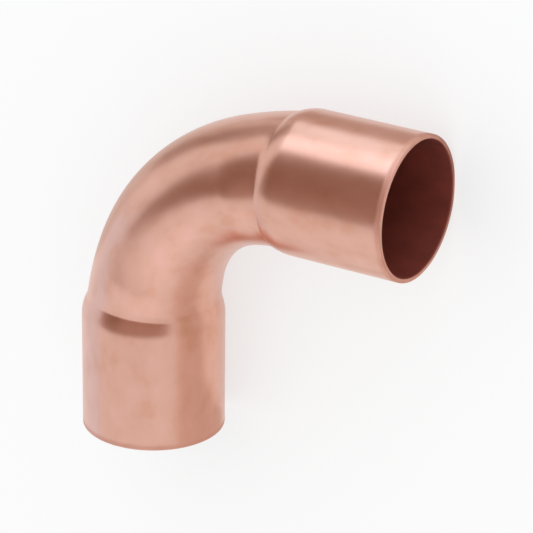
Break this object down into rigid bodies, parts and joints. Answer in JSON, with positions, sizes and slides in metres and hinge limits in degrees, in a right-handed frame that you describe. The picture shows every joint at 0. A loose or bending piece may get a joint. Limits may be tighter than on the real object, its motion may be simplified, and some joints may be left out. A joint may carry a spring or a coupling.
{
  "type": "copper elbow",
  "caption": "Right-angle copper elbow with a long-radius bend and an expanded solder socket at each end, for joining copper water tube.",
  "frame": {"origin": "centre of the inlet socket's mouth, on the socket's axis", "axes": "+X points out of the outlet socket's mouth, -Y out of the inlet socket's mouth, +Z is square to the plane of both socket axes and up when the elbow lies flat on its side"},
  "size_m": [0.0618, 0.0618, 0.024],
  "materials": {
    "copper": "satin drawn copper"
  },
  "bodies": {
    "root": {"elbow": "copper"}
  },
  "joints": []
}
